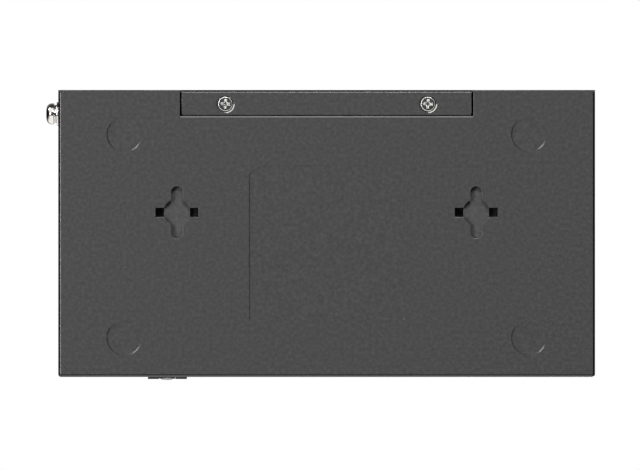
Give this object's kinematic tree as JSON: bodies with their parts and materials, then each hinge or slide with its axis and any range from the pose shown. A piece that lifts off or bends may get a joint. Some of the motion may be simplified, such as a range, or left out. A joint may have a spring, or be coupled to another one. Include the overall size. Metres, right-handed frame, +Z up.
{
  "type": "ethernet router",
  "caption": "Desktop ethernet router in a folded steel case with network ports, an optical module port, a ground screw and wall-mount keyholes.",
  "frame": {"origin": "middle of the base's underside, on the plane that the router stands on", "axes": "+Z up, -Y towards the front with the ports, +X to the right seen from the front"},
  "size_m": [0.2069, 0.1092, 0.028],
  "materials": {
    "case_powder_coat": "dark grey powder coat on folded steel, fine grain",
    "dark_screw": "dark plated steel",
    "plated_steel": "bright nickel plate",
    "bright_shield": "bright folded tin-plated sheet",
    "gold_wire": "gold flash",
    "black_plastic": "moulded, fine matte",
    "clear_plastic": "milky clear moulding",
    "clear_film": "thin black film",
    "board_laminate": "glass-epoxy board with black mask",
    "chip_epoxy": "moulded epoxy",
    "bare_aluminium": "satin",
    "grey_pad": "soft matte",
    "lamp_white": "white housing"
  },
  "bodies": {
    "chassis": {"base_tray": "case_powder_coat", "top_cover": "case_powder_coat", "wall_mount_strap_left": "case_powder_coat", "wall_mount_strap_right": "case_powder_coat", "cover_screw_left": "dark_screw", "cover_screw_right": "dark_screw", "ground_screw": "plated_steel", "ground_spring_washer": "plated_steel", "ground_flat_washer": "plated_steel", "ground_nut": "plated_steel", "insulating_film": "clear_film", "board_standoffs": "plated_steel", "board_screws": "plated_steel", "circuit_board": "board_laminate", "network_jack_shield": "bright_shield", "network_jack_insert": "black_plastic", "network_jack_contacts": "gold_wire", "optical_cage": "bright_shield", "optical_cage_ring": "bright_shield", "optical_connector": "black_plastic", "power_jack_body": "black_plastic", "power_jack_pin": "plated_steel", "power_jack_spring": "plated_steel", "reset_switch": "black_plastic", "light_pipe": "clear_plastic", "status_leds": "lamp_white", "processor": "chip_epoxy", "thermal_pad": "grey_pad", "processor_heat_sink": "bare_aluminium", "switch_chip": "chip_epoxy", "memory_chip": "chip_epoxy", "flash_chip": "chip_epoxy", "port_transformers": "chip_epoxy", "power_inductors": "chip_epoxy", "power_capacitors": "bare_aluminium", "crystals": "bright_shield"},
    "reset_button": {"reset_button": "black_plastic"}
  },
  "joints": [
    {"name": "reset_press", "type": "slide", "parent": "chassis", "child": "reset_button", "axis": [0, 1, 0], "range_m": [0, 0.0003], "stiffness_N_per_m": 200, "springref_m": -0.001}
  ]
}
